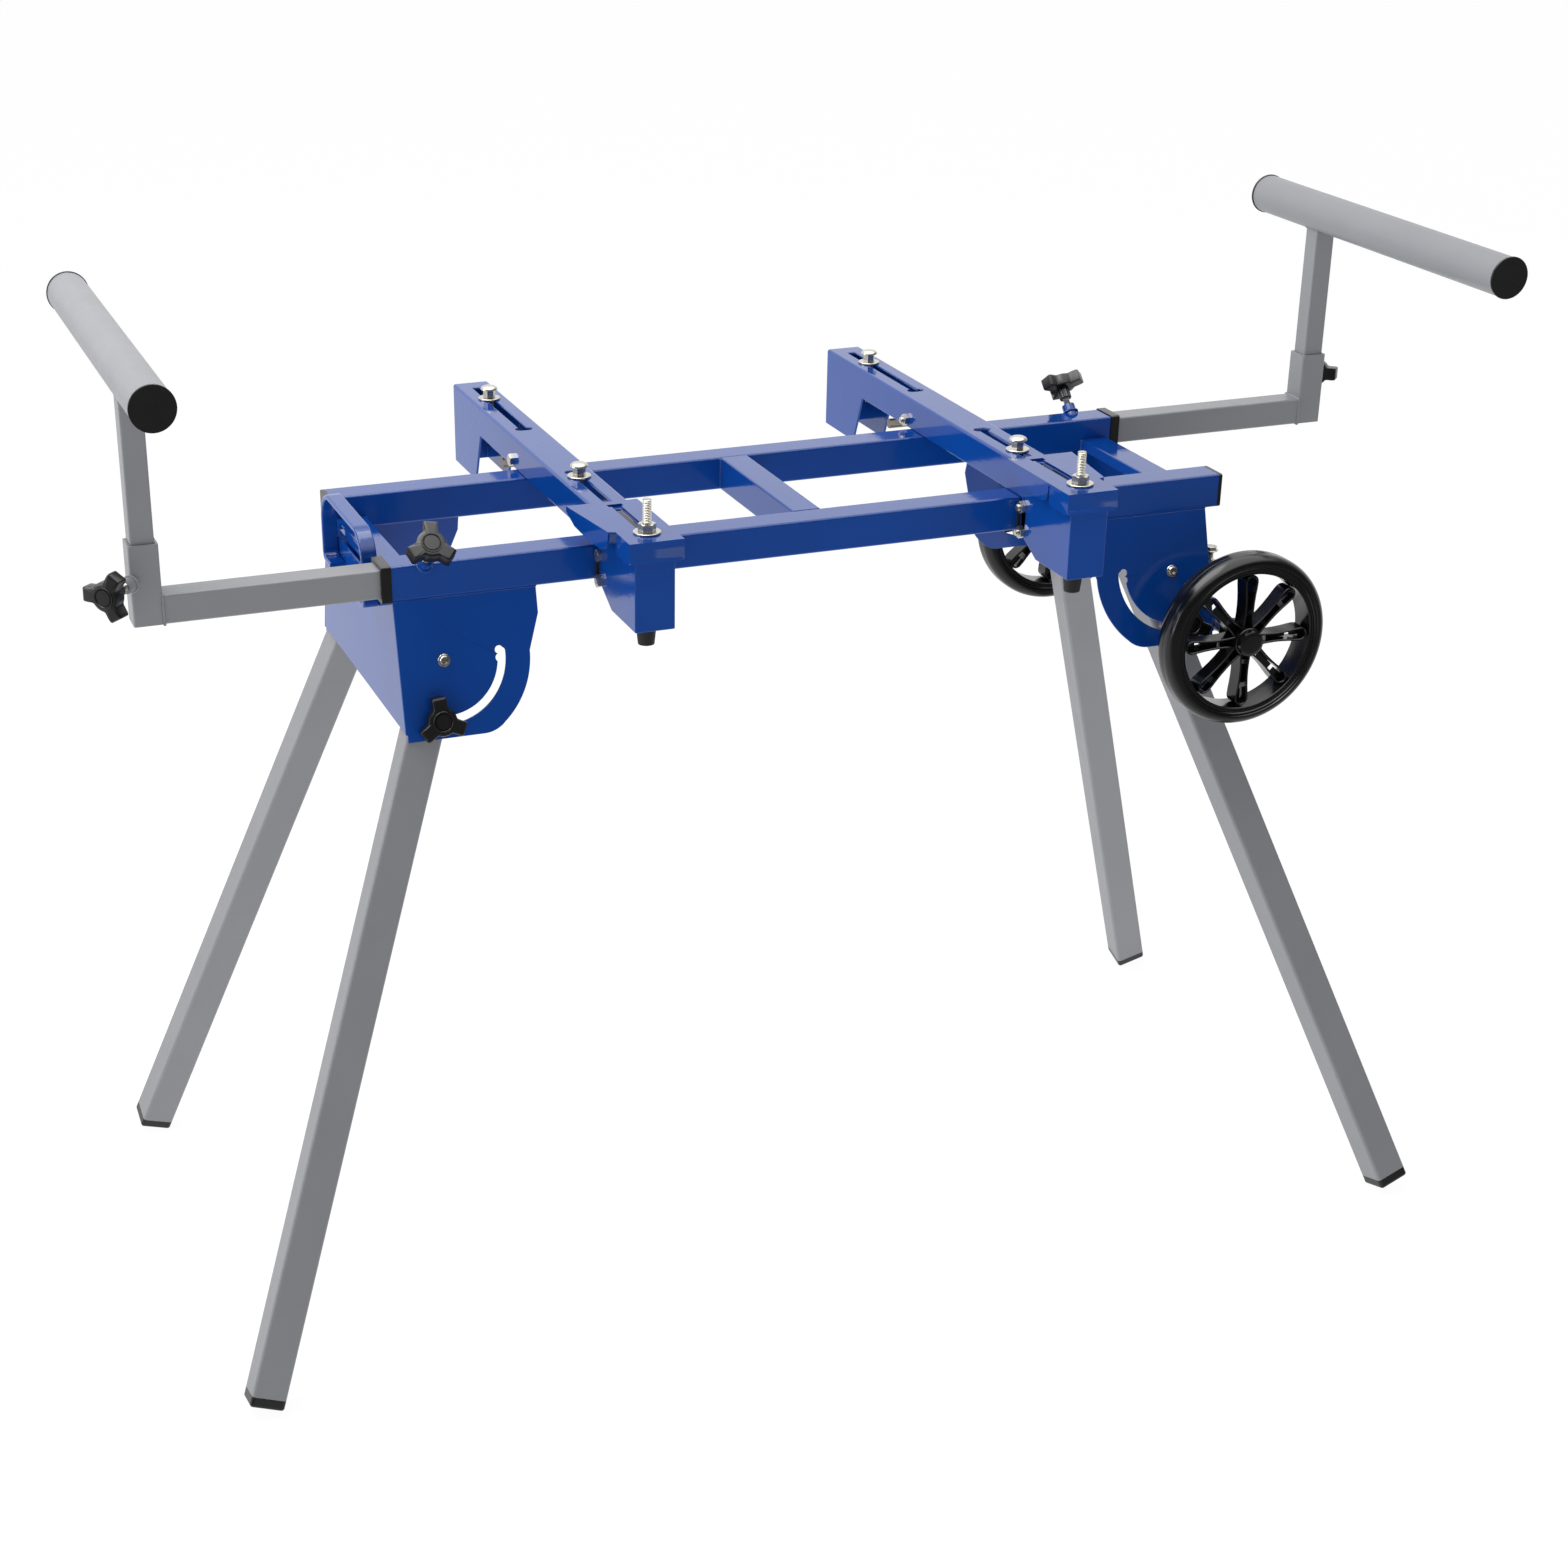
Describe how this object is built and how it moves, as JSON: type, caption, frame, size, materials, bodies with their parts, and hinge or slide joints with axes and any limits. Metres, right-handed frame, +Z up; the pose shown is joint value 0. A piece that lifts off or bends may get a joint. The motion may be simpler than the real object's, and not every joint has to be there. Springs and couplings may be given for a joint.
{
  "type": "miter saw stand",
  "caption": "Folding saw stand: square rails on splayed folding legs, slotted cross brackets with cam levers, draw-out arms with round support bars, handle and wheels.",
  "frame": {"origin": "on the floor, under the middle of the stand's whole box", "axes": "+X along the rails from the handle to the wheels, +Y from the front rail to the rear rail, +Z up"},
  "size_m": [1.677, 0.7756, 1.152],
  "materials": {
    "blue_paint": "gloss powder coat",
    "gray_paint": "satin powder coat",
    "zinc": "bright zinc plating",
    "lever_paint": "satin paint",
    "black_plastic": "satin moulded",
    "wheel_plastic": "satin moulded",
    "tyre_rubber": "matte rubber",
    "pad_rubber": "matte rubber"
  },
  "bodies": {
    "frame": {"front_rail": "blue_paint", "rear_rail": "blue_paint", "middle_member": "blue_paint", "end_members": "blue_paint", "rail_plastics": "black_plastic", "handle": "blue_paint", "axle_tube": "blue_paint", "axle_rod": "zinc", "frame_bolts": "zinc", "left_end_plate": "blue_paint", "right_end_plate": "blue_paint", "front_left_leg_plate": "blue_paint", "rear_left_leg_plate": "blue_paint", "front_right_leg_plate": "blue_paint", "rear_right_leg_plate": "blue_paint"},
    "front_left_leg": {"front_left_leg": "gray_paint", "front_left_foot": "black_plastic"},
    "front_left_knob": {"front_left_knob": "black_plastic"},
    "rear_left_leg": {"rear_left_leg": "gray_paint", "rear_left_foot": "black_plastic"},
    "rear_left_knob": {"rear_left_knob": "black_plastic"},
    "left_arm": {"left_arm": "gray_paint", "left_socket": "gray_paint"},
    "left_post": {"left_post": "gray_paint", "left_bar": "gray_paint", "left_bar_caps": "black_plastic"},
    "left_arm_knob": {"left_arm_knob": "black_plastic"},
    "left_post_knob": {"left_post_knob": "black_plastic"},
    "left_bracket": {"left_bracket": "blue_paint", "left_bracket_bolts": "zinc", "left_bracket_rubber": "pad_rubber"},
    "left_lever": {"left_lever": "lever_paint"},
    "left_cover": {"left_cover": "blue_paint"},
    "left_rear_saw_bolt": {"left_rear_saw_bolt": "zinc"},
    "left_front_saw_bolt": {"left_front_saw_bolt": "zinc"},
    "front_right_leg": {"front_right_leg": "gray_paint", "front_right_foot": "black_plastic"},
    "front_right_knob": {"front_right_knob": "black_plastic"},
    "rear_right_leg": {"rear_right_leg": "gray_paint", "rear_right_foot": "black_plastic"},
    "rear_right_knob": {"rear_right_knob": "black_plastic"},
    "right_arm": {"right_arm": "gray_paint", "right_socket": "gray_paint"},
    "right_post": {"right_post": "gray_paint", "right_bar": "gray_paint", "right_bar_caps": "black_plastic"},
    "right_arm_knob": {"right_arm_knob": "black_plastic"},
    "right_post_knob": {"right_post_knob": "black_plastic"},
    "right_bracket": {"right_bracket": "blue_paint", "right_bracket_bolts": "zinc", "right_bracket_rubber": "pad_rubber"},
    "right_lever": {"right_lever": "lever_paint"},
    "right_cover": {"right_cover": "blue_paint"},
    "right_rear_saw_bolt": {"right_rear_saw_bolt": "zinc"},
    "right_front_saw_bolt": {"right_front_saw_bolt": "zinc"},
    "front_wheel": {"front_rim": "wheel_plastic", "front_tyre": "tyre_rubber"},
    "rear_wheel": {"rear_rim": "wheel_plastic", "rear_tyre": "tyre_rubber"}
  },
  "joints": [
    {"name": "front_left_leg_fold", "type": "hinge", "parent": "frame", "child": "front_left_leg", "pos_m": [-0.4618, -0.17091, 0.78943], "axis": [0, -0.9703, 0.2419], "range_deg": [0, 102.4]},
    {"name": "front_left_knob_turn", "type": "hinge", "parent": "front_left_leg", "child": "front_left_knob", "pos_m": [-0.47349, -0.20873, 0.73323], "axis": [0, -0.9703, 0.2419], "continuous": true},
    {"name": "rear_left_leg_fold", "type": "hinge", "parent": "frame", "child": "rear_left_leg", "pos_m": [-0.4618, 0.12057, 0.78943], "axis": [0, -0.9703, -0.2419], "range_deg": [0, 102.4]},
    {"name": "rear_left_knob_turn", "type": "hinge", "parent": "rear_left_leg", "child": "rear_left_knob", "pos_m": [-0.47349, 0.15839, 0.73323], "axis": [0, 0.9703, 0.2419], "continuous": true},
    {"name": "left_arm_slide", "type": "slide", "parent": "frame", "child": "left_arm", "axis": [1, 0, 0], "range_m": [0, 0.22]},
    {"name": "left_post_slide", "type": "slide", "parent": "left_arm", "child": "left_post", "axis": [0, 0, 1], "range_m": [-0.14, 0.03]},
    {"name": "left_arm_knob_turn", "type": "hinge", "parent": "frame", "child": "left_arm_knob", "pos_m": [-0.475, -0.17687, 0.9], "axis": [0, -0.7071, 0.7071], "continuous": true},
    {"name": "left_post_knob_turn", "type": "hinge", "parent": "left_arm", "child": "left_post_knob", "pos_m": [-0.787, -0.17337, 0.912], "axis": [-0.7071, -0.7071, 0], "continuous": true},
    {"name": "left_bracket_slide", "type": "slide", "parent": "frame", "child": "left_bracket", "axis": [1, 0, 0], "range_m": [-0.065, 0.2]},
    {"name": "left_lever_turn", "type": "hinge", "parent": "left_bracket", "child": "left_lever", "pos_m": [-0.2585, 0.13483, 0.909], "axis": [-1, 0, 0], "range_deg": [0, 60]},
    {"name": "left_cover_slide", "type": "slide", "parent": "left_bracket", "child": "left_cover", "axis": [0, -1, 0], "range_m": [0, 0.09]},
    {"name": "left_rear_saw_bolt_slide", "type": "slide", "parent": "left_bracket", "child": "left_rear_saw_bolt", "axis": [0, 1, 0], "range_m": [-0.08, 0.05]},
    {"name": "left_front_saw_bolt_slide", "type": "slide", "parent": "left_bracket", "child": "left_front_saw_bolt", "axis": [0, 1, 0], "range_m": [-0.084, 0.02]},
    {"name": "front_right_leg_fold", "type": "hinge", "parent": "frame", "child": "front_right_leg", "pos_m": [0.419, -0.12467, 0.77296], "axis": [0, 0.9527, -0.304], "range_deg": [0, 102.4]},
    {"name": "front_right_knob_turn", "type": "hinge", "parent": "front_right_leg", "child": "front_right_knob", "pos_m": [0.43069, -0.21691, 0.73555], "axis": [0, -0.9527, 0.304], "continuous": true},
    {"name": "rear_right_leg_fold", "type": "hinge", "parent": "frame", "child": "rear_right_leg", "pos_m": [0.419, 0.07433, 0.77296], "axis": [0, 0.9527, 0.304], "range_deg": [0, 102.4]},
    {"name": "rear_right_knob_turn", "type": "hinge", "parent": "rear_right_leg", "child": "rear_right_knob", "pos_m": [0.43069, 0.16657, 0.73555], "axis": [0, 0.9527, 0.304], "continuous": true},
    {"name": "right_arm_slide", "type": "slide", "parent": "frame", "child": "right_arm", "axis": [-1, 0, 0], "range_m": [0, 0.22]},
    {"name": "right_post_slide", "type": "slide", "parent": "right_arm", "child": "right_post", "axis": [0, 0, 1], "range_m": [-0.14, 0.03]},
    {"name": "right_arm_knob_turn", "type": "hinge", "parent": "frame", "child": "right_arm_knob", "pos_m": [0.447, 0.12653, 0.9], "axis": [0, 0.7071, 0.7071], "continuous": true},
    {"name": "right_post_knob_turn", "type": "hinge", "parent": "right_arm", "child": "right_post_knob", "pos_m": [0.787, 0.12303, 0.912], "axis": [0.7071, 0.7071, 0], "continuous": true},
    {"name": "right_bracket_slide", "type": "slide", "parent": "frame", "child": "right_bracket", "axis": [1, 0, 0], "range_m": [-0.22, 0.005]},
    {"name": "right_lever_turn", "type": "hinge", "parent": "right_bracket", "child": "right_lever", "pos_m": [0.249, 0.13483, 0.909], "axis": [-1, 0, 0], "range_deg": [0, 60]},
    {"name": "right_cover_slide", "type": "slide", "parent": "right_bracket", "child": "right_cover", "axis": [0, -1, 0], "range_m": [0, 0.09]},
    {"name": "right_rear_saw_bolt_slide", "type": "slide", "parent": "right_bracket", "child": "right_rear_saw_bolt", "axis": [0, 1, 0], "range_m": [-0.08, 0.05]},
    {"name": "right_front_saw_bolt_slide", "type": "slide", "parent": "right_bracket", "child": "right_front_saw_bolt", "axis": [0, 1, 0], "range_m": [-0.011, 0.09]},
    {"name": "front_wheel_spin", "type": "hinge", "parent": "frame", "child": "front_wheel", "pos_m": [0.478, -0.26515, 0.73], "axis": [0, 1, 0], "continuous": true},
    {"name": "rear_wheel_spin", "type": "hinge", "parent": "frame", "child": "rear_wheel", "pos_m": [0.478, 0.21481, 0.73], "axis": [0, 1, 0], "continuous": true}
  ]
}
